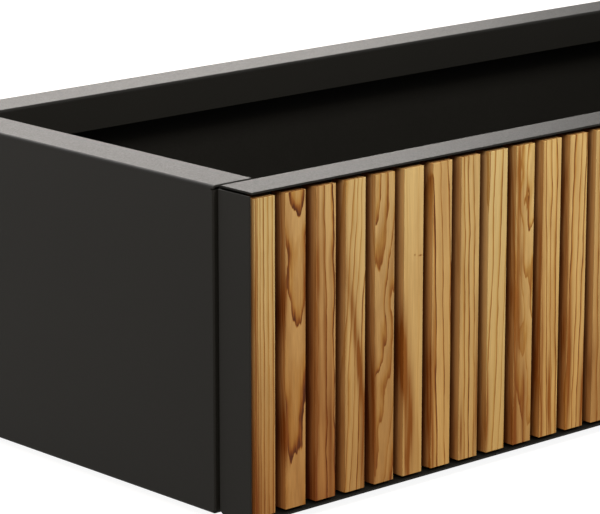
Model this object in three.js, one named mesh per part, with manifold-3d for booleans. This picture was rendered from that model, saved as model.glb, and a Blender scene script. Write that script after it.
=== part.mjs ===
// Planter box of folded, powder-coated sheet steel with a slatted wooden front.
// Millimetres. X runs along the length, the slatted front faces -Y, +Z is up.
// The origin is on the ground, under the middle of the box.

import * as THREE from 'three';
import { mergeVertices } from 'three/addons/utils/BufferGeometryUtils.js';
import Module from 'manifold-3d';

const wasm = await Module();
wasm.setup();

// Overall sizes
const LENGTH = 1210; // over the two end panels
const DEPTH = 499; // front edge of the tray to the back face
const BODY_HEIGHT = 312; // bottom fold to the top face of the rim
const GROUND_CLEARANCE = 12; // bottom fold above the ground

// Folded sheet
const SHEET = 2; // thickness
const BEND_INNER = 1; // inside radius of a fold
const RIM_WIDTH = 49.5; // flat top of the end and back panels, over the lip
const LIP_DROP = 36.5; // top face of the rim to the lip's cut edge
const BOTTOM_RETURN = 25; // width of the fold under each panel
const SEAM = 1.5; // open joint between the tray and the end panels
const MITRE_GAP = 0.6; // open joint between the end panels and the back panel
const SEAT = 0.3; // clearance of a piece on what carries it
const CORNER_SLIT = 1.2; // relief slit where two folds meet at a corner
const CORNER_NOTCH = 3.2; // square notch in the sheet where two folds meet
const FRONT_FLANGE = 25; // end panel's front edge, folded in behind the tray

// Front tray
const TRAY_DEPTH = 44; // front edge to the back face of its back sheet
const TRAY_INSET = 3; // its side faces inside the end panels' outer faces

// Slats
const SLAT_FACE = 25; // width of the front face
const SLAT_GAP = 12.6; // between two slats
const SLAT_DEPTH = 20; // front to back
const SLAT_EASE = 0.6; // radius of the long edges
const SLAT_SETBACK = 0.5; // front face behind the tray's front edge
const SLAT_TOP_CLEARANCE = 6.5; // slat's top end to the body's top face
const SLAT_BOTTOM_CLEARANCE = 5.2; // slat's bottom end to the body's bottom face
const SLAT_SIDE_CLEARANCE = 4; // least gap between the outer slats and the side returns

// Battens behind the slats
const BATTEN_HEIGHT = 40;
const BATTEN_INSET = 45; // from the end of a slat to the batten
const BATTEN_SIDE_CLEARANCE = 12; // batten end to the side return
const BATTEN_EASE = 1.5;

// Rear corner angles, and the cap nuts at all four corners
const ANGLE_LEG = 30;
const ANGLE_THICKNESS = 2.5;
const ANGLE_TOP_CLEARANCE = 8; // under the rim
const STUD_DIAMETER = 6;
const STUD_CLEARANCE = 0.3; // all round, in the holes
const NUT_DROP = 55; // top of the rim to the upper nut's axis
const NUT_PAN_CLEARANCE = 51; // base pan's edge to the lower nut's axis
const FRONT_NUT_INSET = 14; // end face to the front nuts' axes
const NUT_ACROSS_FLATS = 10;
const NUT_HEIGHT = 5;
const WASHER_DIAMETER = 13;
const WASHER_THICKNESS = 1.2;
const DOME_RADIUS = 4.6;

// Base pan
const PAN_EDGE = 25; // height of the upturned edges
const PAN_CLEARANCE = 0.5; // to the walls
const PAN_ANGLE_CLEARANCE = 2; // upturned edges to the corner angles
const DRAIN_DIAMETER = 18;
const DRAIN_COLUMNS = 4;
const DRAIN_ROWS = 2;
const DRAIN_INSET = 80; // from the pan's sides to the outer holes

// Bearers and feet
const BEARER_WIDTH = 60;
const BEARER_HEIGHT = 18;
const BEARER_INSET = 150; // end face to the bearer's middle
const BEARER_END_CLEARANCE = 0.5; // to the inner walls
const FOOT_DIAMETER = 44;
const FOOT_TAPER = 3; // the foot is this much narrower, all round, at the ground
const FOOT_CHAMFER = 1.5;
const FOOT_INSET = 75; // body's front and back faces to the foot's axis
const FOOT_STUD_DIAMETER = 8;
const FOOT_STUD_RISE = 9; // above the bearer's web

// Facets of round shapes
const BEND_FACETS = 4;
const EASE_FACETS = 2;
const HOLE_FACETS = 16;
const FOOT_FACETS = 24;
const DOME_RINGS = 3;

// Levels and places that follow from the sizes above
const BEND_OUTER = BEND_INNER + SHEET;
const bodyTop = GROUND_CLEARANCE + BODY_HEIGHT;
const halfLength = LENGTH / 2;
const trayHalf = halfLength - TRAY_INSET;
const frontY = -DEPTH / 2;
const backY = DEPTH / 2;
const trayBackY = frontY + TRAY_DEPTH;
const endFrontY = trayBackY + SEAM;
const bearerBottom = GROUND_CLEARANCE + SHEET + SEAT;
const bearerTop = bearerBottom + BEARER_HEIGHT;
const panBottom = bearerTop + SEAT;
const panEdgeTop = panBottom + PAN_EDGE;
const nutLevels = { lower: panEdgeTop + NUT_PAN_CLEARANCE, upper: bodyTop - NUT_DROP };
const holeDiameter = STUD_DIAMETER + 2 * STUD_CLEARANCE;

// Materials
const finish = (color, roughness, metalness) =>
  new THREE.MeshStandardMaterial({ color, roughness, metalness });
const coatedSteel = finish(0x33322f, 0.5, 0.2);
const larch = [0xb9925c, 0xa9793f, 0x9c6b38, 0xc09a5e].map((tone) => finish(tone, 0.6, 0));
const blackTimber = finish(0x16130f, 0.8, 0);
const zincPlate = finish(0xa9abab, 0.35, 0.9);
const blackRubber = finish(0x1a1a1a, 0.85, 0);

// Geometry to solid and back, for joins and cuts
function toSolid(geometry) {
  const plain = geometry.clone();
  plain.deleteAttribute('normal');
  plain.deleteAttribute('uv');
  const merged = mergeVertices(plain, 1e-4);
  return new wasm.Manifold(new wasm.Mesh({
    numProp: 3,
    vertProperties: new Float32Array(merged.attributes.position.array),
    triVerts: new Uint32Array(merged.index.array),
  }));
}

function toGeometry(solid) {
  const { vertProperties, triVerts } = solid.getMesh();
  const geometry = new THREE.BufferGeometry();
  geometry.setAttribute('position', new THREE.BufferAttribute(vertProperties, 3));
  geometry.setIndex(new THREE.BufferAttribute(triVerts, 1));
  geometry.computeVertexNormals();
  return geometry;
}

const join = (...geometries) =>
  toGeometry(geometries.map(toSolid).reduce((whole, next) => whole.add(next)));
const cut = (geometry, ...tools) =>
  toGeometry(tools.map(toSolid).reduce((whole, tool) => whole.subtract(tool), toSolid(geometry)));
const keepInside = (geometry, limit) => toGeometry(toSolid(geometry).intersect(toSolid(limit)));

// A straight prism along one axis. The outline is given as [x, y] along z,
// as [y, z] along x, and as [x, z] along y.
function prism(axis, outline, from, to) {
  const shape = new THREE.Shape(outline.map(([u, v]) => new THREE.Vector2(u, v)));
  const geometry = new THREE.ExtrudeGeometry(shape, { depth: to - from, bevelEnabled: false });
  const x = new THREE.Vector3(1, 0, 0);
  const y = new THREE.Vector3(0, 1, 0);
  const z = new THREE.Vector3(0, 0, 1);
  const turn = new THREE.Matrix4();
  if (axis === 'x') turn.makeBasis(y, z, x).setPosition(from, 0, 0);
  if (axis === 'y') turn.makeBasis(x, z, y.clone().negate()).setPosition(0, to, 0);
  if (axis === 'z') turn.setPosition(0, 0, from);
  return geometry.applyMatrix4(turn);
}

// The points of a path whose inner corners are rounded by arcs
function roundCorners(points, radius, facets) {
  return points.flatMap((corner, i) => {
    if (i === 0 || i === points.length - 1) return [corner];
    const here = new THREE.Vector2(...corner);
    const back = new THREE.Vector2(...points[i - 1]).sub(here).normalize();
    const ahead = new THREE.Vector2(...points[i + 1]).sub(here).normalize();
    const centre = here.clone().addScaledVector(back, radius).addScaledVector(ahead, radius);
    return Array.from({ length: facets + 1 }, (_, k) => {
      const angle = (Math.PI / 2) * (k / facets);
      const point = centre.clone();
      point.addScaledVector(ahead, -radius * Math.cos(angle));
      point.addScaledVector(back, -radius * Math.sin(angle));
      return [point.x, point.y];
    });
  });
}

// The outline of a sheet folded at right angles. The path is its outer face,
// and every fold turns the same way.
function foldedSheet(path, thickness = SHEET, innerRadius = BEND_INNER) {
  const unit = (from, to) => new THREE.Vector2(...to).sub(new THREE.Vector2(...from)).normalize();
  const first = unit(path[0], path[1]);
  const second = unit(path[1], path[2]);
  const turn = Math.sign(first.cross(second));
  const inner = path.map((point, i) => {
    const before = i > 0 ? unit(path[i - 1], point) : null;
    const after = i < path.length - 1 ? unit(point, path[i + 1]) : null;
    const shift = new THREE.Vector2();
    for (const run of [before, after]) {
      if (run) shift.add(new THREE.Vector2(-run.y, run.x).multiplyScalar(turn * thickness));
    }
    return [point[0] + shift.x, point[1] + shift.y];
  });
  const outerFace = roundCorners(path, innerRadius + thickness, BEND_FACETS);
  const innerFace = roundCorners(inner, innerRadius, BEND_FACETS);
  return [...outerFace, ...innerFace.reverse()];
}

// A rectangle with eased corners
function easedRectangle(x0, y0, x1, y1, radius) {
  const middle = [(x0 + x1) / 2, y0];
  const loop = [middle, [x1, y0], [x1, y1], [x0, y1], [x0, y0], middle];
  return roundCorners(loop, radius, EASE_FACETS).slice(0, -1);
}

// A round bar along one axis, centred at [u, v] of that axis's prism outline
function bar(axis, [u, v], diameter, from, to, facets = HOLE_FACETS) {
  const outline = Array.from({ length: facets }, (_, i) => {
    const angle = (2 * Math.PI * i) / facets;
    return [u + (diameter / 2) * Math.cos(angle), v + (diameter / 2) * Math.sin(angle)];
  });
  return prism(axis, outline, from, to);
}

const planter = new THREE.Group();
const shell = new THREE.Group();
const slattedFront = new THREE.Group();
const base = new THREE.Group();
planter.add(shell, slattedFront, base);

function addPiece(group, name, geometry, material, position = [0, 0, 0]) {
  const mesh = new THREE.Mesh(geometry, material);
  mesh.name = name;
  mesh.position.set(...position);
  group.add(mesh);
  return mesh;
}

const SIDES = [['left', -1], ['right', 1]];

// End and back panels: bottom return, wall, rim and inner lip in one folded sheet
function rimmedSection(outer, inward) {
  return foldedSheet([
    [outer + inward * BOTTOM_RETURN, GROUND_CLEARANCE],
    [outer, GROUND_CLEARANCE],
    [outer, bodyTop],
    [outer + inward * RIM_WIDTH, bodyTop],
    [outer + inward * RIM_WIDTH, bodyTop - LIP_DROP],
  ]);
}

const mitreShift = MITRE_GAP / Math.SQRT2;

// The end panel's wall is also folded in at the front, where the tray is bolted to it
function frontFlange(side) {
  const outer = side * halfLength;
  const section = foldedSheet([
    [outer, endFrontY + 2 * BEND_OUTER],
    [outer, endFrontY],
    [outer - side * FRONT_FLANGE, endFrontY],
  ]);
  const bottom = GROUND_CLEARANCE + SHEET + CORNER_SLIT;
  return prism('z', section, bottom, bodyTop - CORNER_NOTCH - CORNER_SLIT);
}

function endPanel(side) {
  const outer = side * halfLength;
  const inner = outer - side * RIM_WIDTH;
  const section = prism('y', rimmedSection(outer, -side), endFrontY, backY);
  const notch = prism('z', [
    [outer + side * SHEET, endFrontY - SHEET],
    [outer + side * SHEET, endFrontY + CORNER_NOTCH],
    [outer - side * CORNER_NOTCH, endFrontY + CORNER_NOTCH],
    [outer - side * CORNER_NOTCH, endFrontY - SHEET],
  ], 0, bodyTop - CORNER_NOTCH);
  const plan = [
    [outer, endFrontY],
    [inner, endFrontY],
    [inner, backY - RIM_WIDTH - mitreShift],
    [outer, backY - mitreShift],
  ];
  const mitred = keepInside(section, prism('z', plan, 0, bodyTop));
  const holes = Object.values(nutLevels).map((z) => bar(
    'y', [side * (halfLength - FRONT_NUT_INSET), z], holeDiameter, endFrontY - SHEET, endFrontY + 2 * SHEET,
  ));
  return cut(join(cut(mitred, notch), frontFlange(side)), ...holes);
}

for (const [name, side] of SIDES) {
  addPiece(shell, `end_panel_${name}`, endPanel(side), coatedSteel);
}

function backPanel() {
  const section = prism('x', rimmedSection(backY, -1), -halfLength, halfLength);
  const plan = [
    [-halfLength + mitreShift, backY],
    [-halfLength + RIM_WIDTH + mitreShift, backY - RIM_WIDTH],
    [halfLength - RIM_WIDTH - mitreShift, backY - RIM_WIDTH],
    [halfLength - mitreShift, backY],
  ];
  return keepInside(section, prism('z', plan, 0, bodyTop));
}

addPiece(shell, 'back_panel', backPanel(), coatedSteel);

// Front tray: the back sheet's four edges are folded forwards, with open corners
function frontTray() {
  const flanges = foldedSheet([
    [frontY, GROUND_CLEARANCE],
    [trayBackY, GROUND_CLEARANCE],
    [trayBackY, bodyTop],
    [frontY, bodyTop],
  ]);
  const flangeEnd = trayHalf - CORNER_NOTCH;
  const returns = foldedSheet([
    [-trayHalf, frontY],
    [-trayHalf, trayBackY],
    [trayHalf, trayBackY],
    [trayHalf, frontY],
  ]);
  const slit = SHEET + CORNER_SLIT;
  return join(
    prism('x', flanges, -flangeEnd, flangeEnd),
    prism('z', returns, GROUND_CLEARANCE + slit, bodyTop - slit),
  );
}

addPiece(slattedFront, 'front_tray', frontTray(), coatedSteel);

// Slats: as many as fit between the side returns, evenly spaced about the middle
const slatPitch = SLAT_FACE + SLAT_GAP;
const slatRoom = 2 * (trayHalf - SHEET - SLAT_SIDE_CLEARANCE);
const slatCount = Math.floor((slatRoom + SLAT_GAP) / slatPitch);
const slatFront = frontY + SLAT_SETBACK;
const slatBack = slatFront + SLAT_DEPTH;
const slatBottom = GROUND_CLEARANCE + SLAT_BOTTOM_CLEARANCE;
const slatTop = bodyTop - SLAT_TOP_CLEARANCE;
const slatSection = easedRectangle(-SLAT_FACE / 2, slatFront, SLAT_FACE / 2, slatBack, SLAT_EASE);

for (let i = 0; i < slatCount; i += 1) {
  const x = (i - (slatCount - 1) / 2) * slatPitch;
  const name = `slat_${String(i + 1).padStart(2, '0')}`;
  const geometry = prism('z', slatSection, slatBottom, slatTop);
  addPiece(slattedFront, name, geometry, larch[i % larch.length], [x, 0, 0]);
}

// Battens fill the space between the slats and the tray's back sheet
const battenEnd = trayHalf - SHEET - BATTEN_SIDE_CLEARANCE;
const battenLevels = {
  lower: slatBottom + BATTEN_INSET,
  upper: slatTop - BATTEN_INSET - BATTEN_HEIGHT,
};

for (const [name, bottom] of Object.entries(battenLevels)) {
  const section = easedRectangle(
    slatBack + SEAT, bottom, trayBackY - SHEET - SEAT, bottom + BATTEN_HEIGHT, BATTEN_EASE,
  );
  addPiece(slattedFront, `batten_${name}`, prism('x', section, -battenEnd, battenEnd), blackTimber);
}

// Rear corner angles: one leg on the end panel, the other on the back panel
const angleBottom = GROUND_CLEARANCE + SHEET + SEAT;
const angleTop = bodyTop - SHEET - ANGLE_TOP_CLEARANCE;
const angleBackY = backY - SHEET - SEAT;

function cornerAngle(side) {
  const cornerX = side * (halfLength - SHEET - SEAT);
  const section = foldedSheet([
    [cornerX - side * ANGLE_LEG, angleBackY],
    [cornerX, angleBackY],
    [cornerX, angleBackY - ANGLE_LEG],
  ], ANGLE_THICKNESS);
  const holeX = cornerX - side * (ANGLE_LEG + ANGLE_THICKNESS) / 2;
  const holes = Object.values(nutLevels).map((z) => bar(
    'y', [holeX, z], holeDiameter, angleBackY - 2 * ANGLE_THICKNESS, angleBackY + ANGLE_THICKNESS,
  ));
  return { holeX, geometry: cut(prism('z', section, angleBottom, angleTop), ...holes) };
}

// A welded stud with a washer and a domed hexagon nut. It is drawn along +Z from the wall,
// which is at zero; the washer lies on what the stud holds.
function studAndNut(washerFoot) {
  const nutFoot = washerFoot + WASHER_THICKNESS;
  const nutTop = nutFoot + NUT_HEIGHT;
  const hexagon = Array.from({ length: 6 }, (_, i) => {
    const angle = (Math.PI / 3) * i;
    const corner = NUT_ACROSS_FLATS / Math.sqrt(3);
    return [corner * Math.cos(angle), corner * Math.sin(angle)];
  });
  const dome = Array.from({ length: DOME_RINGS + 1 }, (_, i) => {
    const angle = (Math.PI / 2) * (i / DOME_RINGS);
    return new THREE.Vector2(DOME_RADIUS * Math.cos(angle), nutTop + DOME_RADIUS * Math.sin(angle));
  });
  dome[DOME_RINGS].x = 0;
  const profile = [new THREE.Vector2(0, nutFoot), new THREE.Vector2(DOME_RADIUS, nutFoot), ...dome];
  return join(
    bar('z', [0, 0], STUD_DIAMETER, 0, nutFoot + SHEET),
    bar('z', [0, 0], WASHER_DIAMETER, washerFoot, nutFoot),
    prism('z', hexagon, nutFoot, nutTop),
    new THREE.LatheGeometry(profile, HOLE_FACETS).rotateX(Math.PI / 2),
  );
}

const frontNut = studAndNut(SEAM + SHEET);
const rearNut = studAndNut(ANGLE_THICKNESS + SEAT);

for (const [name, side] of SIDES) {
  const { holeX, geometry } = cornerAngle(side);
  addPiece(shell, `corner_angle_${name}`, geometry, coatedSteel);
  for (const [level, z] of Object.entries(nutLevels)) {
    const frontX = side * (halfLength - FRONT_NUT_INSET);
    const front = addPiece(
      slattedFront, `cap_nut_front_${name}_${level}`, frontNut, zincPlate, [frontX, trayBackY + SEAT, z],
    );
    front.rotation.x = -Math.PI / 2;
    const rear = addPiece(
      shell, `cap_nut_rear_${name}_${level}`, rearNut, zincPlate, [holeX, angleBackY, z],
    );
    rear.rotation.x = Math.PI / 2;
  }
}

// Base pan: a floor sheet with four upturned edges and drain holes. The edges stop short of
// the corners, clear of the angles and of the end panels' front flanges.
const panEndX = halfLength - SHEET - PAN_CLEARANCE;
const panFrontY = trayBackY + PAN_CLEARANCE;
const panBackY = backY - SHEET - PAN_CLEARANCE;

function spread(from, to, count) {
  return Array.from({ length: count }, (_, i) => from + ((to - from) * i) / Math.max(count - 1, 1));
}

function basePan() {
  const upturned = (from, to) => foldedSheet([
    [from, panEdgeTop],
    [from, panBottom],
    [to, panBottom],
    [to, panEdgeTop],
  ]);
  const corner = ANGLE_LEG + PAN_ANGLE_CLEARANCE;
  const [floorX, floorFrontY, floorBackY] = [
    panEndX - CORNER_NOTCH, panFrontY + CORNER_NOTCH, panBackY - CORNER_NOTCH,
  ];
  const floor = [[-floorX, floorFrontY], [floorX, floorFrontY], [floorX, floorBackY], [-floorX, floorBackY]];
  const pan = join(
    prism('y', upturned(-panEndX, panEndX), panFrontY + corner, panBackY - corner),
    prism('x', upturned(panFrontY, panBackY), -panEndX + corner, panEndX - corner),
    prism('z', floor, panBottom, panBottom + SHEET),
  );
  const columns = spread(-panEndX + DRAIN_INSET, panEndX - DRAIN_INSET, DRAIN_COLUMNS);
  const rows = spread(panFrontY + DRAIN_INSET, panBackY - DRAIN_INSET, DRAIN_ROWS);
  const holes = columns.flatMap((x) => rows.map((y) => bar(
    'z', [x, y], DRAIN_DIAMETER, panBottom - SHEET, panBottom + 2 * SHEET,
  )));
  return cut(pan, ...holes);
}

addPiece(base, 'base_pan', basePan(), coatedSteel);

// Bearers: channels across the planter, open side up, under the base pan
const footPlaces = { front: frontY + FOOT_INSET, rear: backY - FOOT_INSET };
const bearerFrontY = trayBackY + BEARER_END_CLEARANCE;
const bearerBackY = backY - SHEET - BEARER_END_CLEARANCE;

function bearer(x) {
  const section = foldedSheet([
    [x - BEARER_WIDTH / 2, bearerTop],
    [x - BEARER_WIDTH / 2, bearerBottom],
    [x + BEARER_WIDTH / 2, bearerBottom],
    [x + BEARER_WIDTH / 2, bearerTop],
  ]);
  const holes = Object.values(footPlaces).map((y) => bar(
    'z', [x, y], FOOT_STUD_DIAMETER + 2 * STUD_CLEARANCE, bearerBottom - SHEET, bearerBottom + 2 * SHEET,
  ));
  return cut(prism('y', section, bearerFrontY, bearerBackY), ...holes);
}

// A foot: a tapered rubber pad moulded on a stud that passes through the bearer's web
const footTop = bearerBottom - SEAT;
const footRadius = FOOT_DIAMETER / 2;
const footProfile = [
  [0, 0],
  [footRadius - FOOT_TAPER - FOOT_CHAMFER, 0],
  [footRadius - FOOT_TAPER, FOOT_CHAMFER],
  [footRadius, footTop - FOOT_CHAMFER],
  [footRadius - FOOT_CHAMFER, footTop],
  [FOOT_STUD_DIAMETER / 2, footTop],
  [FOOT_STUD_DIAMETER / 2, bearerBottom + SHEET + FOOT_STUD_RISE],
  [0, bearerBottom + SHEET + FOOT_STUD_RISE],
].map(([r, z]) => new THREE.Vector2(r, z));
const footShape = new THREE.LatheGeometry(footProfile, FOOT_FACETS).rotateX(Math.PI / 2);

for (const [name, side] of SIDES) {
  const x = side * (halfLength - BEARER_INSET);
  addPiece(base, `bearer_${name}`, bearer(x), coatedSteel);
  for (const [end, y] of Object.entries(footPlaces)) {
    addPiece(base, `foot_${end}_${name}`, footShape, blackRubber, [x, y, 0]);
  }
}

export default planter;
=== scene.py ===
"""A long planter box: folded, powder-coated sheet steel with a slatted larch front.

Metres, +Z up. The slatted front faces -Y, and the length runs along X.
"""

import math
import random
from collections import namedtuple

import bmesh
import bpy
from mathutils import Matrix, Vector


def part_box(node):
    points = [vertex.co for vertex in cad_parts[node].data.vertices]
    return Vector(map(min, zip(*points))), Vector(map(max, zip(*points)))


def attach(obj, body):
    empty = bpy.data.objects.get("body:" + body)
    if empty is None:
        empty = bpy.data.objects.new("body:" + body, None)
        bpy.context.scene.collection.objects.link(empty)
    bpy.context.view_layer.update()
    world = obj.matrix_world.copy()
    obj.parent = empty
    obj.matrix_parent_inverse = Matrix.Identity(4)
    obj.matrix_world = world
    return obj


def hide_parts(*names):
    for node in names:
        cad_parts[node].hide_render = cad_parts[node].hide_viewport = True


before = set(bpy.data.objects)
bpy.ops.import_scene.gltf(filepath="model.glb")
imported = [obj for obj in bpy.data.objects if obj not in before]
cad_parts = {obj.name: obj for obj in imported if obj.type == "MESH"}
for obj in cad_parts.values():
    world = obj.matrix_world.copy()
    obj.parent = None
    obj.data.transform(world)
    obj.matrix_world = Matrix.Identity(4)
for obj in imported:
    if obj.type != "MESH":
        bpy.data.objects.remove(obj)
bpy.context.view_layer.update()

MM = 0.001

# Camera, worked out from the straight edges of the photograph
PHOTO_WIDTH = 600  # pixels
FOCAL_LENGTH = 3321.9  # pixels
SENSOR_WIDTH = 36
CAMERA_PLACE = (-2.51970, -2.41750, 0.98052)
CAMERA_YAW = math.radians(42.3965)  # from +Y towards +X
CAMERA_DIP = math.radians(13.8773)  # below the horizon

# Studio
SKY_LIGHT = 0.12
FLOOR_SIZE = 15  # far past the picture's edges
FLOOR_GLOW = 0.92
GLOW_EDGE = 38 * MM  # the floor doesn't glow further than this inside the planter's outline
GLOW_FADE = 2.5 * MM  # over which the glow comes up, outside that edge

# Sheet metal
SHEET = 2 * MM
FOLD_RADIUS = 3 * MM  # on the outside of a fold
SEAM_FOLD_RADIUS = 2.1 * MM  # of an end panel's fold beside the tray
FOLD_STEPS = 8
CUT_EDGE_EASE = 0.2 * MM  # the coating rounds the cut edges
CUT_EDGE_STEPS = 2
RIM_END_EASE = 1.6 * MM  # the rim of an end panel is dressed round where it meets the tray
RIM_END_STEPS = 6
CORNER_NOTCH = 3.2 * MM  # square notch where two folds meet
CORNER_SLIT = 1.2 * MM  # relief slit beside a fold
FRONT_FLANGE = 25 * MM
RETURN_WIDTH = 25 * MM
RIM_WIDTH = 49.5 * MM
LIP_DROP = 36.5 * MM
MITRE_GAP = 0.6 * MM
ANGLE_SHEET = 2.5 * MM
ANGLE_FOLD_RADIUS = 3.5 * MM

# Base pan
DRAIN_RADIUS = 9 * MM
DRAIN_INSET = 80 * MM
DRAIN_COLUMNS = 4
DRAIN_ROWS = 2
DRAIN_CELL = 30 * MM  # side of the square patch round each hole
DRAIN_BORDER = 1 * MM  # of flat sheet inside that patch
PAN_CORNER = 32 * MM  # the upturned edges stop this far from the corners

# Timber
SLAT_DEPTH = 20 * MM
SLAT_EASE = 0.6 * MM
BATTEN_EASE = 1.5 * MM
TIMBER_EASE_STEPS = 3
MARKS_PER_SLAT = 5
LOG_SPACING = 0.7  # metres along the log, from one slat to the next
GRAIN_SEED = 7
FLAT_SAWN_SHARE = 0.35  # of the slats whose grain is drawn at random
DRAWN_COOLNESS = 0.33  # of the brown of those slats

# Fasteners
NUT_ACROSS_FLATS = 10 * MM
NUT_HEIGHT = 5 * MM
NUT_EASE = 0.4 * MM
DOME_RADIUS = 4.6 * MM
DOME_LIFT = 0.4 * MM  # from the hexagon's top to the dome's centre
NECK_INSET = 0.5 * MM  # of the dome's neck, sideways and down into the hexagon
WASHER_RADIUS = 6.5 * MM
WASHER_THICKNESS = 1.2 * MM
WASHER_EASE = 0.25 * MM
SCREWS_PER_BATTEN = 7
BATTEN_SCREW_INSET = 60 * MM
SCREW_HEAD_RADIUS = 4 * MM
SCREW_HEAD_HEIGHT = 2.3 * MM
SCREW_HEAD_RIM = 0.5 * MM
SCREW_FLAT_RADIUS = 2.6 * MM
SCREW_BULGE_DEPTH = 1.6 * MM  # of the centre of the head's curve, below the head
ROUND_STEPS = 48

# Feet
PAD_HEIGHT = 14 * MM
PAD_TAPER = 3 * MM
PAD_SLOPE = 6  # degrees off upright
PAD_EASE = 1.5 * MM
DIMPLE_RADIUS = 6 * MM
DIMPLE_DEPTH = 0.6 * MM
FOOT_STUD_RADIUS = 4 * MM
FOOT_STUD_EASE = 0.6 * MM

# Measures for picking edges and joining points
CUT_EDGE = math.radians(35)  # the least turn at a cut edge
FOLD = math.radians(80)  # the least turn at a fold that isn't rounded yet
NEAR = 0.02 * MM
SAME = 1e-6

SIDES = {"left": -1, "right": 1}


def linear(code):
    """An sRGB hex colour as the linear colour that shaders take."""
    parts = [int(code[at:at + 2], 16) / 255 for at in (1, 3, 5)]
    return [p / 12.92 if p <= 0.04045 else ((p + 0.055) / 1.055) ** 2.4 for p in parts] + [1.0]


def grey(value):
    """A neutral linear colour."""
    return (value, value, value)


WHITE = linear("#FFFFFF")


class Tree:
    """The shader tree of a material or world. It starts empty."""

    def __init__(self, owner):
        owner.use_nodes = True
        self.nodes = owner.node_tree.nodes
        self.links = owner.node_tree.links
        self.nodes.clear()

    def add(self, kind, inputs=None, **settings):
        """Adds a node with its settings and its links or values."""
        node = self.nodes.new(kind)
        for name, value in settings.items():
            setattr(node, name, value)
        for socket, value in (inputs or {}).items():
            if isinstance(value, bpy.types.NodeSocket):
                self.links.new(value, node.inputs[socket])
            else:
                node.inputs[socket].default_value = value
        return node

    def place(self):
        """Where a point lies, in metres."""
        return self.add("ShaderNodeTexCoord").outputs["Object"]

    def attribute(self, name):
        return self.add("ShaderNodeAttribute", attribute_name=name).outputs

    def axes(self, vector):
        return self.add("ShaderNodeSeparateXYZ", {"Vector": vector}).outputs

    def noise(self, place, size, detail, roughness=0.5):
        """Noise with lumps of about the given size."""
        return self.add("ShaderNodeTexNoise", {
            "Vector": place, "Scale": 1 / size, "Detail": detail, "Roughness": roughness,
        }).outputs["Fac"]

    def stretched_noise(self, place, sizes, detail, roughness=0.5):
        """Noise with lumps of the given sizes along X, Y and Z."""
        mapping = self.add("ShaderNodeMapping", {
            "Vector": place, "Scale": [1 / size for size in sizes]})
        return self.noise(mapping.outputs["Vector"], 1.0, detail, roughness)

    def ramp(self, value, *stops):
        """A colour that goes with a value. Each stop has its position and colour."""
        node = self.add("ShaderNodeValToRGB", {"Fac": value})
        elements = node.color_ramp.elements
        for place, (position, colour) in enumerate(stops):
            element = elements[place] if place < 2 else elements.new(position)
            element.position = position
            element.color = (*colour[:3], 1.0)
        return node.outputs["Color"]

    def maths(self, operation, *values, clamp=False):
        return self.add("ShaderNodeMath", dict(enumerate(values)), operation=operation,
                        use_clamp=clamp).outputs["Value"]

    def ranged(self, value, low, high, start, end):
        """Takes the range from low to high to the one from start to end, and stays in it."""
        return self.add("ShaderNodeMapRange", {
            "Value": value, "From Min": low, "From Max": high, "To Min": start, "To Max": end,
        }).outputs["Result"]

    def blended(self, share, base, over, mode="MIX"):
        """Two colours mixed. The node's sockets share names, so they go by number."""
        return self.add("ShaderNodeMix", {0: share, 6: base, 7: over}, data_type="RGBA",
                        blend_type=mode).outputs[2]

    def bumped(self, height, strength, depth):
        """The normal of a surface with a relief."""
        return self.add("ShaderNodeBump", {
            "Height": height, "Strength": strength, "Distance": depth}).outputs["Normal"]

    def seen(self):
        """1 where the camera sees a point directly, mirrored or through glass, and 0 elsewhere."""
        rays = self.add("ShaderNodeLightPath").outputs
        mirrored = self.maths("ADD", rays["Is Glossy Ray"], rays["Is Transmission Ray"])
        return self.maths("ADD", rays["Is Camera Ray"], mirrored, clamp=True)

    def surface(self, inputs):
        """Ends the tree of a material with its shader."""
        shader = self.add("ShaderNodeBsdfPrincipled", inputs)
        self.add("ShaderNodeOutputMaterial", {"Surface": shader.outputs["BSDF"]})


def new_finish(name):
    """A new material and its tree."""
    finish = bpy.data.materials.new(name)
    return finish, Tree(finish)


def powder_coat():
    """Fine-textured polyester powder coat, sprayed dry and baked.

    The cured powder leaves a close, sandy grain, so the sheet is matt and warm black when
    seen square on and takes a pale sheen along grazing views.
    """
    grain_size = 1.6 * MM  # real grain is about 0.3 mm; drawn coarser so that it shows
    pinhead_size = 0.5 * MM
    pinhead_share = 0.35
    cloud_size = 90 * MM
    finish, tree = new_finish("powder_coat_warm_black")
    place = tree.place()
    grain = tree.noise(place, grain_size, 3.0, 0.6)
    clouds = tree.noise(place, cloud_size, 2.0)
    pinheads = tree.add("ShaderNodeTexVoronoi", {"Vector": place, "Scale": 1 / pinhead_size})
    colour = tree.ramp(grain, (0.30, linear("#161512")), (0.70, linear("#1D1C19")))
    relief = tree.add("ShaderNodeMix", {
        0: pinhead_share, 2: grain, 3: pinheads.outputs["Distance"]}, data_type="FLOAT")
    tree.surface({
        "Base Color": tree.blended(tree.ranged(clouds, 0, 1, 0, 0.35), colour, linear("#141311")),
        "Roughness": tree.ranged(grain, 0.3, 0.7, 0.45, 0.57),
        "Specular IOR Level": 0.078,
        "Normal": tree.bumped(relief.outputs[0], 0.4, 0.1 * MM)})
    return finish


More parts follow.
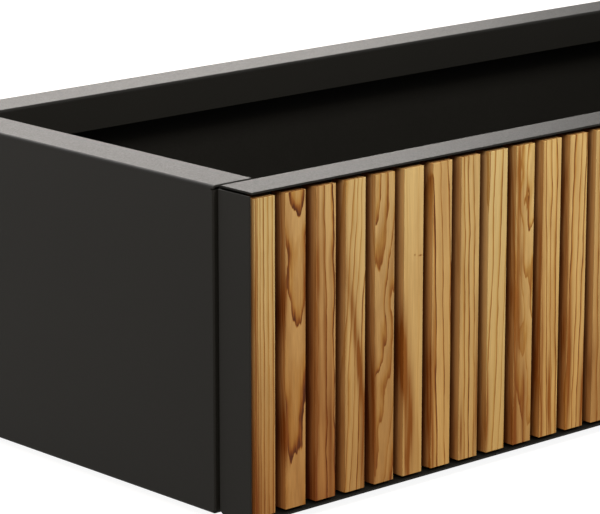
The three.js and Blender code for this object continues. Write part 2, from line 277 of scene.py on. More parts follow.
def oiled_larch():
    """Larch, planed, eased and oiled.

    Each slat carries its own place in an imagined log, so the growth rings run through it as
    they do in timber: straight lines, arches on flat-sawn faces, and arcs on the ends. Pale
    early wood turns slowly into dark late wood, which ends sharply at the next ring.
    """
    wander_size = (20 * MM, 20 * MM, 75 * MM)  # the rings swing in and out
    wander_gain = 6.0  # on noise that keeps near its middle
    notch_size = (3.4 * MM, 3.4 * MM, 30 * MM)  # small dents, which fray the arches
    notch_depth = 1.7 * MM
    spacing_size = 13 * MM  # over which the rings crowd and spread
    spacing_depth = 9 * MM
    late_width = 4.4 * MM  # the part of a ring over which it darkens
    year_range, faintest_year = 0.8, 0.3
    side_share = 0.4  # of the late wood's strength, on the side faces
    smear_fray = 1.6  # how far a smear's edges follow the rings' swing
    fibre_size = (0.8 * MM, 0.8 * MM, 45 * MM)
    streak_size = (2.6 * MM, 2.6 * MM, 160 * MM)
    stain_size = (15 * MM, 15 * MM, 120 * MM)
    end_turn = 0.8  # how far up or down the normal points, at least, on end grain
    end_share = 0.45  # of the end grain's own brown
    finish, tree = new_finish("oiled_larch")
    maths, ranged = tree.maths, tree.ranged
    log = tree.attribute("log")["Vector"]
    grain = tree.attribute("grain")
    figure = tree.axes(grain["Vector"])
    # tone carries the slat's own paleness and the painted light that pales it towards its top
    ring_width, waviness, tone, contrast = figure["X"], figure["Y"], figure["Z"], grain["Alpha"]
    on_slat = tree.axes(tree.attribute("slat_place")["Vector"])
    normal = tree.axes(tree.add("ShaderNodeNewGeometry").outputs["Normal"])

    # Growth rings
    across = tree.add("ShaderNodeVectorMath", {0: log, 1: (1, 1, 0)}, operation="MULTIPLY")
    radius = tree.add("ShaderNodeVectorMath", {0: across.outputs["Vector"]}, operation="LENGTH")
    wander = maths("SUBTRACT", tree.stretched_noise(log, wander_size, 1.5), 0.5)
    notches = maths("SUBTRACT", tree.stretched_noise(log, notch_size, 2.0, 0.6), 0.5)
    streak = tree.stretched_noise(log, streak_size, 2.0)
    swung = maths(
        "MULTIPLY_ADD", maths("MULTIPLY", wander, wander_gain), waviness, radius.outputs["Value"])
    warped = maths("MULTIPLY_ADD", notches, notch_depth, swung)
    uneven = tree.add("ShaderNodeTexNoise", {
        "W": maths("MULTIPLY", warped, 1 / spacing_size), "Scale": 1.0, "Detail": 1.0},
        noise_dimensions="1D").outputs["Fac"]
    ring = maths("DIVIDE", maths("MULTIPLY_ADD", uneven, spacing_depth, warped), ring_width)
    to_next = maths("MULTIPLY", maths("SUBTRACT", 1.0, maths("FRACT", ring)), ring_width)
    season = maths("SUBTRACT", 1.0, maths("DIVIDE", to_next, late_width))
    late = tree.ramp(
        season, (0.0, grey(0.0)), (0.40, grey(0.05)), (0.68, grey(0.28)), (0.88, grey(0.80)),
        (0.955, grey(1.0)), (1.0, grey(0.05)))
    year = tree.add("ShaderNodeTexWhiteNoise", {"W": maths("FLOOR", ring)}, noise_dimensions="1D")
    strength = maths(
        "MULTIPLY", maths("MULTIPLY_ADD", year.outputs["Value"], year_range, faintest_year),
        contrast)
    faded = maths("MULTIPLY", strength, ranged(streak, 0.3, 0.7, 0.7, 1.3))
    sideways = maths("ABSOLUTE", normal["X"])
    shown = maths("MULTIPLY", faded, ranged(sideways, 0.2, 0.8, 1.0, side_share))
    dark = maths("MULTIPLY", late, shown, clamp=True)
    rings = tree.ramp(
        dark, (0.0, linear("#D3A766")), (0.3, linear("#BC8842")), (0.65, linear("#93561F")),
        (1.0, linear("#582A0C")))

    # Brown stains and smears
    stain = ranged(tree.stretched_noise(log, stain_size, 2.0, 0.6), 0.47, 0.66, 0.0, 1.0)
    smear = maths("MULTIPLY", stain, tree.attribute("stain")["Fac"])
    for count in range(MARKS_PER_SLAT):
        offset = tree.axes(tree.attribute(f"mark_{count}")["Vector"])
        frayed = maths("MULTIPLY_ADD", wander, smear_fray, offset["X"])
        spread_out = maths("ADD", maths("MULTIPLY", frayed, frayed),
                           maths("MULTIPLY", offset["Y"], offset["Y"]))
        bell = maths("EXPONENT", maths("MULTIPLY", spread_out, -1.0))
        streaked = maths("MULTIPLY", bell, ranged(streak, 0.3, 0.7, 0.55, 1.35))
        smear = maths("MULTIPLY_ADD", streaked, offset["Z"], smear, clamp=True)

    # Tints: the slat's own; painted light, cooler and paler towards its top; painted shade, darker
    # towards the back of the gaps; and its fibres
    fibre = tree.stretched_noise(log, fibre_size, 3.0, 0.65)
    tints = [
        tree.ramp(tone, (0.0, (0.46, 0.35, 0.29)), (1.0, (0.88, 1.02, 1.12))),
        # painted light: the foot warmer and darker, the top cooler and paler, as light falls from
        # above
        tree.ramp(on_slat["Z"], (0.0, (0.97, 0.89, 0.79)), (1.0, (1.01, 1.06, 1.15))),
        tree.ramp(tree.attribute("coolness")["Fac"],
                  (0.0, (1.0, 0.95, 0.90)), (1.0, (1.0, 1.10, 1.20))),
        # painted shade on the side faces: a painted highlight just behind the front edge, then
        # darker and darker towards the back of the gap
        tree.ramp(ranged(on_slat["Y"], 0.0, SLAT_DEPTH, 0.0, 1.0),
                  (0.03, grey(1.0)), (0.07, (1.18, 0.98, 0.86)), (0.25, (0.93, 0.76, 0.68)),
                  (0.41, (0.55, 0.41, 0.38)), (0.57, (0.33, 0.19, 0.14)),
                  (1.0, (0.20, 0.11, 0.08))),
        tree.ramp(fibre, (0.25, grey(0.84)), (0.75, grey(1.12))),
    ]
    colour = tree.blended(smear, rings, linear("#8C5018"))
    for tint in tints:
        colour = tree.blended(1.0, colour, tint, "MULTIPLY")
    end_grain = maths("GREATER_THAN", maths("ABSOLUTE", normal["Z"]), end_turn)

    relief = maths("MULTIPLY_ADD", dark, 0.5, maths("MULTIPLY", fibre, 0.5))
    tree.surface({
        "Base Color": tree.blended(
            maths("MULTIPLY", end_grain, end_share), colour, linear("#5A3418")),
        "Roughness": ranged(dark, 0.0, 1.0, 0.66, 0.56),
        "Specular IOR Level": 0.12,
        "Normal": tree.bumped(relief, 0.3, 0.12 * MM)})
    return finish


def stained_timber():
    """Sawn softwood stained black: dull, with the saw's fine furrows and a trace of the grain."""
    furrow_size = (26 * MM, 1.4 * MM, 1.4 * MM)
    finish, tree = new_finish("black_stained_softwood")
    furrows = tree.stretched_noise(tree.place(), furrow_size, 3.0, 0.6)
    tree.surface({
        "Base Color": tree.ramp(furrows, (0.3, linear("#0F0D0B")), (0.75, linear("#221C17"))),
        "Roughness": 0.82,
        "Specular IOR Level": 0.2,
        "Normal": tree.bumped(furrows, 0.6, 0.3 * MM)})
    return finish


def zinc_plate():
    """Steel with bright zinc plate: a cool, softly mottled metal shine."""
    mottle_size = 2.2 * MM
    finish, tree = new_finish("bright_zinc_plate")
    mottle = tree.noise(tree.place(), mottle_size, 3.0)
    tree.surface({
        "Base Color": tree.ramp(mottle, (0.3, linear("#B4B6B8")), (0.7, linear("#CDCFD2"))),
        "Metallic": 1.0,
        "Roughness": tree.ranged(mottle, 0, 1, 0.24, 0.42)})
    return finish


def moulded_rubber():
    """Black rubber from a spark-eroded mould: dead matt, with a fine pebbled skin."""
    pebble_size = 0.6 * MM
    finish, tree = new_finish("moulded_black_rubber")
    pebbles = tree.noise(tree.place(), pebble_size, 2.0)
    tree.surface({
        "Base Color": tree.ramp(pebbles, (0.3, linear("#161616")), (0.7, linear("#202020"))),
        "Roughness": 0.85,
        "Specular IOR Level": 0.3,
        "Normal": tree.bumped(pebbles, 0.4, 0.1 * MM)})
    return finish


FINISHES = {
    "coated_steel": powder_coat(),
    "slat_wood": oiled_larch(),
    "batten_wood": stained_timber(),
    "zinc_plate": zinc_plate(),
    "foot_rubber": moulded_rubber(),
}


def make_piece(name, mesh, slot, *nodes):
    """Turns the mesh into a smoothly shaded piece that stands for the given nodes."""
    for face in mesh.faces:
        face.smooth = True
    data = bpy.data.meshes.new(name)
    mesh.to_mesh(data)
    mesh.free()
    data.materials.append(FINISHES[slot])
    piece = bpy.data.objects.new(name, data)
    bpy.context.scene.collection.objects.link(piece)
    even = piece.modifiers.new("even_shading", "WEIGHTED_NORMAL")
    even.keep_sharp = True
    if nodes:
        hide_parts(*nodes)
    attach(piece, "root")


def spread(low, high, count):
    """Evenly spaced values from low to high."""
    return [low + (high - low) * place / (count - 1) for place in range(count)]


def edges_over(mesh, least):
    """The edges whose two faces meet at more than the given angle."""
    return [e for e in mesh.edges if len(e.link_faces) == 2 and e.calc_face_angle(0) > least]


def round_edges(mesh, edges, width, steps):
    bmesh.ops.bevel(mesh, geom=edges, offset=width, offset_type="OFFSET", segments=steps,
                    profile=0.5, affect="EDGES", clamp_overlap=False, material=-1)


def folded_sheet(outline, folds, sheet=SHEET, radius=FOLD_RADIUS, pattern=None):
    """A sheet cut to an outline and folded at right angles; both are its outer face.

    The folds give, for the edge that follows a corner of the outline, the edge's moves, one for
    each fold. The pattern, if any, works on the outer face before its folds are rounded.
    """
    mesh = bmesh.new()
    corners = [mesh.verts.new(corner) for corner in outline]
    mesh.faces.new(corners)
    for start, moves in folds.items():
        edge = mesh.edges.get((corners[start], corners[(start + 1) % len(corners)]))
        for move in moves:
            swept = bmesh.ops.extrude_edge_only(mesh, edges=[edge])["geom"]
            far = [part for part in swept if isinstance(part, bmesh.types.BMVert)]
            bmesh.ops.translate(mesh, verts=far, vec=move)
            edge = mesh.edges.get(far)
    if pattern:
        pattern(mesh)
    thicken_folds(mesh, sheet, radius)
    return mesh


def thicken_folds(mesh, sheet, radius):
    """Rounds the folds of an outer face and gives it its thickness on the hollow side."""
    round_edges(mesh, edges_over(mesh, FOLD), radius, FOLD_STEPS)
    bmesh.ops.recalc_face_normals(mesh, faces=mesh.faces)
    middle = sum((vert.co for vert in mesh.verts), Vector()) / len(mesh.verts)
    widest = max(mesh.faces, key=lambda face: face.calc_area())
    if widest.normal.dot(middle - widest.calc_center_median()) > 0:
        bmesh.ops.reverse_faces(mesh, faces=mesh.faces)
    bmesh.ops.solidify(mesh, geom=mesh.faces[:], thickness=sheet)
    bmesh.ops.recalc_face_normals(mesh, faces=mesh.faces)


def cut_off(mesh, point, outward):
    """Cuts away what lies beyond a plane and closes the cut."""
    parts = mesh.verts[:] + mesh.edges[:] + mesh.faces[:]
    cut = bmesh.ops.bisect_plane(
        mesh, geom=parts, plane_co=point, plane_no=outward, clear_outer=True, dist=SAME)
    rim = [part for part in cut["geom_cut"] if isinstance(part, bmesh.types.BMEdge)]
    bmesh.ops.edgeloop_fill(mesh, edges=rim)
    bmesh.ops.recalc_face_normals(mesh, faces=mesh.faces)


def make_sheet(name, mesh, node):
    """Eases the cut edges of a folded sheet and makes it a coated piece."""
    round_edges(mesh, edges_over(mesh, CUT_EDGE), CUT_EDGE_EASE, CUT_EDGE_STEPS)
    bmesh.ops.recalc_face_normals(mesh, faces=mesh.faces)
    make_piece(name, mesh, "coated_steel", node)


tray_low, tray_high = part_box("front_tray")
tray_half = tray_high.x
body_bottom = tray_low.z
body_top = tray_high.z
end_low, end_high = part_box("end_panel_right")
end_front = end_low.y
half_length = end_high.x
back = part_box("back_panel")[1].y


def rimmed_end(side):
    """An end panel: wall, rim and lip, bottom return and front flange, mitred at the back."""
    outer = side * half_length
    inset = end_front + CORNER_NOTCH
    low, high = body_bottom + CORNER_NOTCH, body_top - CORNER_NOTCH
    slit = high - CORNER_SLIT
    outline = [
        (back, body_bottom), (inset, body_bottom), (inset, low), (end_front, low),
        (end_front, slit), (inset, slit), (inset, high), (end_front, high),
        (end_front, body_top), (back, body_top),
    ]

    def at_front(edge):
        return all(abs(vert.co.y - end_front) < NEAR for vert in edge.verts)

    def at_top(edge):
        return all(abs(vert.co.z - body_top) < NEAR for vert in edge.verts)

    def round_seam_fold(mesh):
        folds = [edge for edge in edges_over(mesh, FOLD) if at_front(edge)]
        round_edges(mesh, folds, SEAM_FOLD_RADIUS, FOLD_STEPS)

    mesh = folded_sheet([(outer, y, z) for y, z in outline], {
        0: [(-side * RETURN_WIDTH, 0, 0)],
        3: [(-side * FRONT_FLANGE, 0, 0)],
        8: [(-side * RIM_WIDTH, 0, 0), (0, 0, -LIP_DROP)],
    }, pattern=round_seam_fold)
    cut_off(mesh, (outer, back - MITRE_GAP / math.sqrt(2), 0), (-side, 1, 0))
    rim_end = [edge for edge in mesh.edges if at_front(edge) and at_top(edge)]
    round_edges(mesh, rim_end, RIM_END_EASE, RIM_END_STEPS)
    return mesh


def rimmed_back():
    """The back panel, mitred at both ends."""
    outline = [(-half_length, body_bottom), (half_length, body_bottom),
               (half_length, body_top), (-half_length, body_top)]
    mesh = folded_sheet([(x, back, z) for x, z in outline], {
        0: [(0, -RETURN_WIDTH, 0)],
        2: [(0, -RIM_WIDTH, 0), (0, 0, -LIP_DROP)],
    })
    for side in SIDES.values():
        cut_off(mesh, (side * (half_length - MITRE_GAP / math.sqrt(2)), back, 0), (side, -1, 0))
    return mesh


def folded_tray():
    """The front tray: one sheet with its four edges folded forwards and open corners."""
    right, left = tray_half, -tray_half
    flange_right, flange_left = right - CORNER_NOTCH, left + CORNER_NOTCH
    low, high = body_bottom + CORNER_NOTCH, body_top - CORNER_NOTCH
    outline = [
        (flange_left, body_bottom), (flange_right, body_bottom), (flange_right, low),
        (right, low), (right, high), (flange_right, high),
        (flange_right, body_top), (flange_left, body_top), (flange_left, high),
        (left, high), (left, low), (flange_left, low),
    ]
    forwards = [(0, tray_low.y - tray_high.y, 0)]
    return folded_sheet(
        [(x, tray_high.y, z) for x, z in outline], dict.fromkeys((0, 3, 6, 9), forwards))


def pierce(mesh, centre, radius):
    """Opens a round hole in the square patch that lies about its centre."""
    def patch():
        return min(mesh.faces, key=lambda face: (face.calc_center_median() - centre).length)

    bmesh.ops.subdivide_edges(mesh, edges=patch().edges[:], cuts=ROUND_STEPS // 4 - 1)
    inner = patch()
    bmesh.ops.inset_individual(mesh, faces=[inner], thickness=DRAIN_BORDER)
    quarter = math.pi / 4
    for vert in inner.verts:
        x, y, _ = vert.co - centre
        if abs(x) > abs(y):
            angle = quarter * y / abs(x)
            ring = Vector((math.copysign(math.cos(angle), x), math.sin(angle), 0))
        else:
            angle = quarter * x / abs(y)
            ring = Vector((math.sin(angle), math.copysign(math.cos(angle), y), 0))
        vert.co = centre + radius * ring
    bmesh.ops.delete(mesh, geom=[inner], context="FACES")


def folded_pan():
    """The base pan: a floor with drain holes and four upturned edges, its corners left free."""
    low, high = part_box("base_pan")
    columns = spread(low.x + DRAIN_INSET, high.x - DRAIN_INSET, DRAIN_COLUMNS)
    rows = spread(low.y + DRAIN_INSET, high.y - DRAIN_INSET, DRAIN_ROWS)

    def split(mesh, axis, place):
        """Splits the faces along a plane across an axis."""
        point, across = Vector((0, 0, 0)), Vector((0, 0, 0))
        point[axis] = place
        across[axis] = 1
        parts = mesh.verts[:] + mesh.edges[:] + mesh.faces[:]
        bmesh.ops.bisect_plane(mesh, geom=parts, plane_co=point, plane_no=across)

    def drain(mesh):
        for axis, places in enumerate((columns, rows)):
            for place in places:
                for way in (-1, 1):
                    split(mesh, axis, place + way * DRAIN_CELL / 2)
        for x in columns:
            for y in rows:
                pierce(mesh, Vector((x, y, low.z)), DRAIN_RADIUS)

    left, right, front, rear = low.x, high.x, low.y, high.y
    outline = [
        (left + PAN_CORNER, front), (right - PAN_CORNER, front),
        (right - PAN_CORNER, front + CORNER_NOTCH), (right - CORNER_NOTCH, front + CORNER_NOTCH),
        (right - CORNER_NOTCH, front + PAN_CORNER),
        (right, front + PAN_CORNER), (right, rear - PAN_CORNER),
        (right - CORNER_NOTCH, rear - PAN_CORNER), (right - CORNER_NOTCH, rear - CORNER_NOTCH),
        (right - PAN_CORNER, rear - CORNER_NOTCH),
        (right - PAN_CORNER, rear), (left + PAN_CORNER, rear),
        (left + PAN_CORNER, rear - CORNER_NOTCH), (left + CORNER_NOTCH, rear - CORNER_NOTCH),
        (left + CORNER_NOTCH, rear - PAN_CORNER),
        (left, rear - PAN_CORNER), (left, front + PAN_CORNER),
        (left + CORNER_NOTCH, front + PAN_CORNER), (left + CORNER_NOTCH, front + CORNER_NOTCH),
        (left + PAN_CORNER, front + CORNER_NOTCH),
    ]
    upwards = [(0, 0, high.z - low.z)]
    return folded_sheet([(x, y, low.z) for x, y in outline],
                        dict.fromkeys((0, 5, 10, 15), upwards), pattern=drain)


def bearer_channel(side):
    """A bearer: a channel with its open side up."""
    low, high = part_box(f"bearer_{side}")
    web = [(low.x, low.y), (high.x, low.y), (high.x, high.y), (low.x, high.y)]
    upwards = [(0, 0, high.z - low.z)]
    return folded_sheet([(x, y, low.z) for x, y in web], {1: upwards, 3: upwards})


def corner_angle(name, side):
    """A folded angle that joins an end panel to the back panel."""
    low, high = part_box(f"corner_angle_{name}")
    outer = high.x if side > 0 else low.x
    leg = [(outer, low.y, low.z), (outer, high.y, low.z),
           (outer, high.y, high.z), (outer, low.y, high.z)]
    inwards = [(side * (low.x - high.x), 0, 0)]
    return folded_sheet(leg, {1: inwards}, ANGLE_SHEET, ANGLE_FOLD_RADIUS)


def turned(profile):
    """A solid of revolution about Z. The profile starts and ends on the axis."""
    mesh = bmesh.new()
    verts = [mesh.verts.new((radius, 0, height)) for radius, height in profile]
    edges = [mesh.edges.new(pair) for pair in zip(verts, verts[1:])]
    bmesh.ops.spin(mesh, geom=verts + edges, cent=(0, 0, 0), axis=(0, 0, 1), angle=math.tau,
                   steps=ROUND_STEPS, use_merge=True)
    bmesh.ops.remove_doubles(mesh, verts=mesh.verts, dist=SAME)
    bmesh.ops.recalc_face_normals(mesh, faces=mesh.faces)
    return mesh


def arc(centre, radius, start, end, steps):
    """Points of an arc in a turned profile, angles in degrees."""
    angles = [math.radians(start + (end - start) * step / steps) for step in range(steps + 1)]
    return [(centre[0] + radius * math.cos(a), centre[1] + radius * math.sin(a)) for a in angles]


def merge_into(mesh, *others):
    """Adds closed shells to a mesh."""
    for other in others:
        data = bpy.data.meshes.new("shell")
        other.to_mesh(data)
        other.free()
        mesh.from_mesh(data)
        bpy.data.meshes.remove(data)
    return mesh


def cap_nut():
    """A washer and a domed nut on a hidden stud, pointing along +Z from the washer's seat."""
    rim, seat = WASHER_RADIUS - WASHER_EASE, WASHER_THICKNESS
    washer = turned([
        (0, 0), (rim, 0), *arc((rim, WASHER_EASE), WASHER_EASE, -90, 0, 3),
        *arc((rim, seat - WASHER_EASE), WASHER_EASE, 0, 90, 3), (0, seat)])
    corner = NUT_ACROSS_FLATS / math.sqrt(3)
    hexagon = bmesh.new()
    bmesh.ops.create_cone(hexagon, cap_ends=True, segments=6, radius1=corner, radius2=corner,
                          depth=NUT_HEIGHT)
    bmesh.ops.translate(hexagon, verts=hexagon.verts, vec=(0, 0, seat + NUT_HEIGHT / 2))
    round_edges(hexagon, edges_over(hexagon, CUT_EDGE), NUT_EASE, 3)
    neck = DOME_RADIUS - NECK_INSET
    foot = seat + NUT_HEIGHT - NECK_INSET
    centre = seat + NUT_HEIGHT + DOME_LIFT
    dome = turned([(0, foot), (neck, foot), (neck, centre),
                   *arc((0, centre), DOME_RADIUS, 0, 90, 12)[:-1], (0, centre + DOME_RADIUS)])
    return merge_into(washer, hexagon, dome)


def rubber_foot(low, high):
    """A tapered pad moulded on a stud, with a shallow dimple below."""
    radius = (high.x - low.x) / 2 - PAD_EASE
    stud_top = high.z - FOOT_STUD_EASE
    return turned([
        (0, DIMPLE_DEPTH), (DIMPLE_RADIUS, DIMPLE_DEPTH), (DIMPLE_RADIUS + DIMPLE_DEPTH, 0),
        (radius - PAD_TAPER, 0),
        *arc((radius - PAD_TAPER, PAD_EASE), PAD_EASE, -90, PAD_SLOPE, 5),
        *arc((radius, PAD_HEIGHT - PAD_EASE), PAD_EASE, PAD_SLOPE, 90, 5),
        (FOOT_STUD_RADIUS, PAD_HEIGHT), (FOOT_STUD_RADIUS, stud_top),
        (FOOT_STUD_RADIUS - FOOT_STUD_EASE, high.z), (0, high.z)])


def screw_head():
    """The head of a button-head screw, pointing along +Z."""
    bulge = arc((0, -SCREW_BULGE_DEPTH), SCREW_HEAD_HEIGHT + SCREW_BULGE_DEPTH, 25, 47, 5)
    return turned([
        (0, 0), (SCREW_HEAD_RADIUS, 0), (SCREW_HEAD_RADIUS, SCREW_HEAD_RIM), *bulge[1:],
        (SCREW_FLAT_RADIUS, SCREW_HEAD_HEIGHT), (0, SCREW_HEAD_HEIGHT)])


def placed_copy(shape, place, turn):
    """A copy of a mesh, turned about X by some degrees and moved to its place."""
    mesh = shape.copy()
    standing = Matrix.Rotation(math.radians(turn), 4, "X")
    standing.translation = place
    bmesh.ops.transform(mesh, matrix=standing, verts=mesh.verts)
    return mesh


def boxed(low, high, ease):
    """A squared length of timber with eased edges."""
    mesh = bmesh.new()
    bmesh.ops.create_cube(mesh, size=1.0)
    bmesh.ops.scale(mesh, verts=mesh.verts, vec=high - low)
    bmesh.ops.translate(mesh, verts=mesh.verts, vec=(low + high) / 2)
    round_edges(mesh, mesh.edges[:], ease, TIMBER_EASE_STEPS)
    return mesh


Grain = namedtuple("Grain", [
    "pith_x", "pith_y",  # mm from the slat's middle to the side, and behind its front face
    "lean_x", "lean_y",  # how fast the pith leans that way as it rises
    "ring", "wander",  # mm that a ring takes, and that the rings swing
    "tone", "fall",  # how pale the slat is, and how much paler its top is than its foot, as painted light from above
    "contrast", "stain",  # how strongly its late wood and its streaky stains show
    "along",  # metres that it is moved along the log
    "coolness",  # of its brown
])

# The slats seen close up, counted from the left
SLAT_GRAIN = [
    Grain(62, 6, 0.004, 0.000, 4.2, 0.5, 0.34, 0.60, 0.75, 0.15, 0.0, 1.0),
    Grain(0, 40.8, 0.000, -0.042, 4.4, 1.4, 0.31, 0.18, 1.35, 0.30, 0.045, 0.4),
    Grain(38, 30, 0.010, 0.000, 9.0, 1.6, 0.26, 0.50, 1.30, 0.40, 0.6, 0.4),
    Grain(-46, 14, -0.050, 0.000, 6.5, 1.4, 0.48, 0.30, 0.90, 0.20, 0.0, 0.63),
    Grain(16, 44, 0.000, -0.050, 4.6, 2.0, 0.37, 0.25, 1.00, 0.25, 0.5, 0.57),
    Grain(86, 10, 0.010, 0.000, 14.0, 1.2, 0.64, 0.12, 0.20, 0.20, 0.975, 0.4),
    Grain(72, 8, 0.030, 0.000, 10.0, 1.4, 0.67, -0.10, 1.30, 0.20, 0.3, 0.13),
    Grain(78, 12, 0.012, 0.000, 7.6, 1.0, 0.61, 0.05, 1.45, 0.35, 0.3, 0.47),
    Grain(64, 16, -0.030, 0.000, 8.0, 1.2, 0.72, 0.02, 0.85, 0.00, 0.0, 0.63),
    Grain(-16, 50, 0.000, -0.030, 4.6, 2.6, 0.70, 0.50, 1.00, 0.30, 0.7, 0.27),
    Grain(52, 8, 0.020, 0.000, 7.4, 1.2, 0.88, 0.12, 1.30, 0.30, 0.0, 0.05),
    Grain(-56, 9, -0.030, 0.000, 7.8, 1.2, 0.79, 0.18, 1.30, 0.30, 0.6, 0.0),
    Grain(30, 20, 0.010, 0.000, 6.0, 1.2, 0.45, 0.30, 0.95, 0.50, 0.0, 0.33),
]

# Brown smears on their faces: how far each one's middle lies to the right of the slat's middle
# and above its foot, its half width and half length, all in mm, how far it leans sideways as it
# rises, and how dark it is
SLAT_MARKS = {
    0: [(-11, 150, 1.4, 400, 0, 0.9), (-9, 0, 4.5, 110, 0, 0.6)],
    1: [(-13, 190, 2.6, 34, 0, 1.0), (11, 210, 2.5, 45, 0, 0.9), (-12, 75, 3.0, 28, 0, 1.0)],
    2: [(-11, 150, 3.2, 400, 0, 0.8), (-1, 180, 2.4, 120, -0.02, 0.6), (6, 60, 3.0, 110, 0, 0.6)],
    3: [(2, 140, 4.2, 58, -0.158, 1.3), (10, 40, 3.4, 70, 0, 1.0), (-12, 150, 2.2, 400, 0, 0.3)],
    4: [(-12, 60, 2.4, 90, 0, 0.9), (9, 215, 3.0, 50, 0.1, 0.5), (0, 150, 9, 400, 0, 0.15)],
    5: [(-5, 72, 6.5, 54, -0.07, 1.0), (-13, 125, 3.6, 42, 0, 1.1), (-6, 12, 4.0, 30, 0, 0.9),
        (1.4, 215.5, 0.9, 0.9, 0, 1.3), (8.5, 214, 2.4, 0.7, 0, 1.1)],  # the last two are knots
    6: [(-11, 60, 2.8, 95, 0, 1.0), (3, 262, 8.0, 55, 0, 0.3)],
    7: [(10.5, 60, 2.0, 75, 0, 0.8), (-10, 22, 2.8, 32, 0, 0.8), (-13, 200, 2.6, 150, 0, 0.35)],
    8: [(-11, 28, 2.8, 50, 0, 0.9)],
    9: [(-9, 150, 6.0, 400, 0, 0.85), (-1, 115, 2.0, 28, 0, 0.5), (3, 42, 3.6, 40, 0, 1.0)],
    10: [(-11, 75, 3.4, 95, 0, 1.0), (1, 42, 3.0, 50, 0, 0.8), (-14, 200, 2.2, 110, 0, 0.6)],
    11: [(-9, 70, 4.0, 80, 0, 1.0), (11, 28, 2.5, 42, 0, 0.9), (-14, 200, 2.2, 130, 0, 0.8)],
}


def grain_of(place, draw):
    """The grain of a slat: listed where it is seen close up, and drawn for the others."""
    if place < len(SLAT_GRAIN):
        return SLAT_GRAIN[place]
    if draw.random() < FLAT_SAWN_SHARE:
        return Grain(
            pith_x=draw.uniform(-6, 6), pith_y=draw.uniform(35, 70),
            lean_x=draw.uniform(-0.01, 0.01),
            lean_y=draw.choice((-1, 1)) * draw.uniform(0.02, 0.045),
            ring=draw.uniform(4.2, 5.2), wander=draw.uniform(1.5, 4.5),
            tone=draw.uniform(0.3, 0.6), fall=draw.uniform(0.1, 0.4),
            contrast=draw.uniform(0.8, 1.0), stain=draw.uniform(0.1, 0.5),
            along=0.0, coolness=DRAWN_COOLNESS)
    return Grain(
        pith_x=draw.choice((-1, 1)) * draw.uniform(35, 90), pith_y=draw.uniform(4, 20),
        lean_x=draw.uniform(-0.03, 0.03), lean_y=0,
        ring=draw.uniform(6.0, 12.0), wander=draw.uniform(0.5, 1.4),
        tone=draw.uniform(0.4, 0.8), fall=draw.uniform(0.0, 0.4),
        contrast=draw.uniform(0.6, 1.1), stain=draw.uniform(0.0, 0.6),
        along=0.0, coolness=DRAWN_COOLNESS)


def lay_grain(mesh, low, high, place, grain):
    """Writes on each point its place in the log and on the slat, and the slat's grain."""
    layers = mesh.verts.layers
    vectors = ["log", "slat_place", *(f"mark_{count}" for count in range(MARKS_PER_SLAT))]
    for name in vectors:
        layers.float_vector.new(name)
    layers.float_color.new("grain")
    layers.float.new("stain")
    layers.float.new("coolness")
    # A new layer moves the others, so they are fetched once all are there
    log, slat_place, *marks = [layers.float_vector[name] for name in vectors]
    figure = layers.float_color["grain"]
    stain, coolness = layers.float["stain"], layers.float["coolness"]
    front = Vector(((low.x + high.x) / 2, low.y, (low.z + high.z) / 2))
    for vert in mesh.verts:
        spot = vert.co - front
        risen = spot.z / (high.z - low.z)
        vert[log] = (spot.x + grain.pith_x * MM + grain.lean_x * spot.z,
                     spot.y + grain.pith_y * MM + grain.lean_y * spot.z,
                     spot.z + place * LOG_SPACING + grain.along)
        # the third value is the slat's tone with painted light added, paler towards its top
        vert[figure] = (
            grain.ring * MM, grain.wander * MM, grain.tone + grain.fall * risen, grain.contrast)
        vert[stain] = grain.stain
        vert[coolness] = grain.coolness
        vert[slat_place] = (spot.x, spot.y, risen + 0.5)
        for mark, (x, z, half_width, half_length, lean, strength) in zip(
                marks, SLAT_MARKS.get(place, [])):
            above = (vert.co.z - low.z) / MM - z
            vert[mark] = (
                (spot.x / MM - x - lean * above) / half_width, above / half_length, strength)


# Shell
for name, side in SIDES.items():
    make_sheet(f"end_sheet_{name}", rimmed_end(side), f"end_panel_{name}")
make_sheet("back_sheet", rimmed_back(), "back_panel")
make_sheet("tray_sheet", folded_tray(), "front_tray")
make_sheet("pan_sheet", folded_pan(), "base_pan")
for name in SIDES:
    make_sheet(f"bearer_channel_{name}", bearer_channel(name), f"bearer_{name}")

# Rear corner angles, and the cap nuts on the angles and on the end panels' front flanges
nut = cap_nut()
for name, side in SIDES.items():
    node = f"corner_angle_{name}"
    make_sheet(f"folded_{node}", corner_angle(name, side), node)
    faces = {
        "front": (end_front + SHEET, -90),
        "rear": (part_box(node)[1].y - ANGLE_SHEET, 90),
    }
    for end, (face_y, turn) in faces.items():
        for level in ("lower", "upper"):
            node = f"cap_nut_{end}_{name}_{level}"
            centre = sum(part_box(node), Vector()) / 2
            mesh = placed_copy(nut, (centre.x, face_y, centre.z), turn)
            make_piece(f"domed_{node}", mesh, "zinc_plate", node)
nut.free()

# Feet
for end in ("front", "rear"):
    for name in SIDES:
        node = f"foot_{end}_{name}"
        low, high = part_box(node)
        centre = (low + high) / 2
        mesh = rubber_foot(low, high)
        bmesh.ops.translate(mesh, verts=mesh.verts, vec=(centre.x, centre.y, 0))
        make_piece(f"moulded_{node}", mesh, "foot_rubber", node)

# Slats
draw = random.Random(GRAIN_SEED)
slat_nodes = sorted(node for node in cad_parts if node.startswith("slat_"))
for place, node in enumerate(slat_nodes):
    low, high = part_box(node)
    mesh = boxed(low, high, SLAT_EASE)
    lay_grain(mesh, low, high, place, grain_of(place, draw))
    make_piece(f"larch_{node}", mesh, "slat_wood", node)

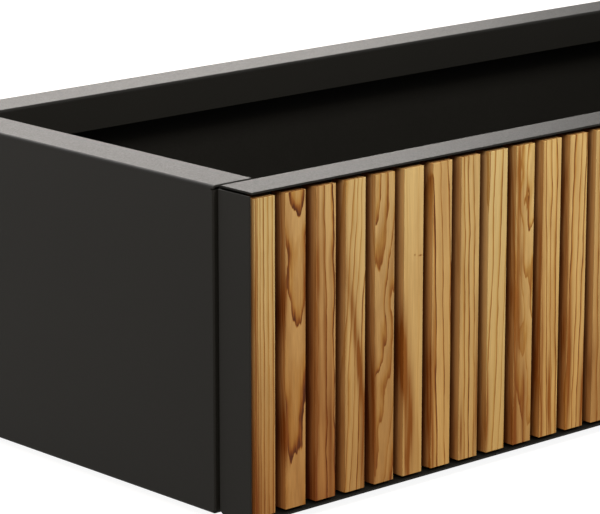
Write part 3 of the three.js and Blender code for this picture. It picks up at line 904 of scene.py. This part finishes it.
# Battens, and the screws that hold them through the tray
screw = screw_head()
for level in ("lower", "upper"):
    node = f"batten_{level}"
    low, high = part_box(node)
    make_piece(f"stained_{node}", boxed(low, high, BATTEN_EASE), "batten_wood", node)
    columns = spread(low.x + BATTEN_SCREW_INSET, high.x - BATTEN_SCREW_INSET, SCREWS_PER_BATTEN)
    for count, x in enumerate(columns, start=1):
        mesh = placed_copy(screw, (x, tray_high.y, (low.z + high.z) / 2), -90)
        make_piece(f"batten_screw_{level}_{count}", mesh, "zinc_plate")
screw.free()


def add_lamp(name, place, aim, size, power, colour):
    """A rectangular soft box turned towards its aim. The camera doesn't see it."""
    lamp = bpy.data.lights.new(name, "AREA")
    lamp.shape = "RECTANGLE"
    lamp.size, lamp.size_y = size
    lamp.energy = power
    lamp.color = linear(colour)[:3]
    holder = bpy.data.objects.new(name, lamp)
    holder.location = place
    holder.rotation_euler = (Vector(aim) - Vector(place)).to_track_quat("-Z", "Y").to_euler()
    holder.visible_camera = False
    bpy.context.scene.collection.objects.link(holder)


def white_sky():
    """Even light from all round, and a white background where it is seen or mirrored."""
    world = bpy.data.worlds.new("studio")
    bpy.context.scene.world = world
    tree = Tree(world)
    light = tree.add("ShaderNodeBackground", {"Color": WHITE, "Strength": SKY_LIGHT})
    white = tree.add("ShaderNodeBackground", {"Color": WHITE, "Strength": 1.0})
    either = tree.add("ShaderNodeMixShader", {
        0: tree.seen(), 1: light.outputs["Background"], 2: white.outputs["Background"]})
    tree.add("ShaderNodeOutputWorld", {"Surface": either.outputs["Shader"]})


def studio_paper():
    """White paper, which keeps a soft shadow and is dark well under the planter.

    It can't be seen from below, so that the planter's underside can.
    """
    finish, tree = new_finish("studio_paper")
    place = tree.axes(tree.place())
    beyond = [
        tree.maths("SUBTRACT", tree.maths("ABSOLUTE", place[axis]), edge)
        for axis, edge in (("X", half_length), ("Y", back))
    ]
    clear = tree.ranged(tree.maths("MAXIMUM", *beyond), -GLOW_EDGE, GLOW_FADE - GLOW_EDGE, 0, 1)
    lit = tree.maths("MULTIPLY", tree.seen(), clear)
    paper = tree.add("ShaderNodeBsdfDiffuse", {"Color": linear("#8E8984")})
    glow = tree.add("ShaderNodeEmission", {
        "Color": WHITE, "Strength": tree.maths("MULTIPLY", lit, FLOOR_GLOW)})
    both = tree.add("ShaderNodeAddShader", {0: paper.outputs["BSDF"], 1: glow.outputs["Emission"]})
    one_sided = tree.add("ShaderNodeMixShader", {
        0: tree.add("ShaderNodeNewGeometry").outputs["Backfacing"],
        1: both.outputs["Shader"],
        2: tree.add("ShaderNodeBsdfTransparent").outputs["BSDF"]})
    tree.add("ShaderNodeOutputMaterial", {"Surface": one_sided.outputs["Shader"]})
    return finish


def white_floor():
    """The studio's floor."""
    mesh = bmesh.new()
    bmesh.ops.create_grid(mesh, x_segments=1, y_segments=1, size=FLOOR_SIZE)
    data = bpy.data.meshes.new("studio_floor")
    mesh.to_mesh(data)
    mesh.free()
    data.materials.append(studio_paper())
    floor = bpy.data.objects.new("studio_floor", data)
    bpy.context.scene.collection.objects.link(floor)


white_sky()
white_floor()
add_lamp("front_soft_box", (0.05, -1.9, 2.0), (-0.2, -0.2, 0.2), (0.8, 0.8), 49, "#FFFFFF")
add_lamp("left_soft_box", (-2.4, -2.0, 1.8), (-0.4, -0.2, 0.2), (1.4, 0.8), 71, "#FFF8F0")
add_lamp("rear_soft_box", (1.15, 2.6, 1.45), (-0.4, 0, 0.3), (2.2, 1.4), 68, "#FFF8F2")
add_lamp("side_soft_box", (-1.5, 0.9, 0.6), (-0.6, 0.1, 0.3), (0.5, 0.5), 5.0, "#FFFFFF")
add_lamp("top_soft_box", (-0.6, 2.2, 2.4), (-0.6, 0, 0.3), (1.0, 1.0), 75, "#FFFFFF")

camera_data = bpy.data.cameras.new("camera")
camera_data.sensor_width = SENSOR_WIDTH
camera_data.lens = SENSOR_WIDTH * FOCAL_LENGTH / PHOTO_WIDTH
camera = bpy.data.objects.new("camera", camera_data)
camera.location = CAMERA_PLACE
camera.rotation_euler = (math.radians(90) - CAMERA_DIP, 0, -CAMERA_YAW)
bpy.context.scene.collection.objects.link(camera)
bpy.context.scene.camera = camera
bpy.context.scene.view_settings.view_transform = "Standard"
